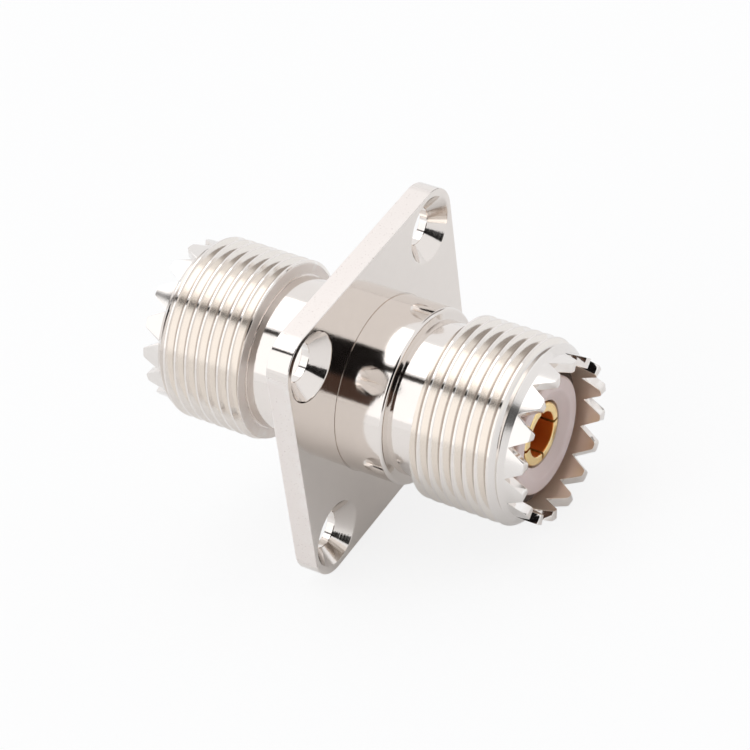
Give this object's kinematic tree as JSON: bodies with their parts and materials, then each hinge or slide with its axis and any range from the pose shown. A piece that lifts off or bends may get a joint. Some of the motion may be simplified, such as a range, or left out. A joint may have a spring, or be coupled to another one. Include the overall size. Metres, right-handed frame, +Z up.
{
  "type": "coaxial flange adapter",
  "caption": "Double-ended coaxial adapter with a square countersunk flange, threaded toothed barrels and a gold socket contact in a pale insulator.",
  "frame": {"origin": "on the axis of both barrels, in the flange's rear face", "axes": "+X along the barrels' axis towards the front barrel, Y and Z along the flange's sides, +Z up"},
  "size_m": [0.0364, 0.0254, 0.0254],
  "materials": {
    "body": "bright nickel plate on turned brass",
    "insulator": "pale translucent plastic",
    "contact": "gold plate"
  },
  "bodies": {
    "root": {"body": "body", "front_insulator": "insulator", "rear_insulator": "insulator", "centre_contact": "contact"}
  },
  "joints": []
}
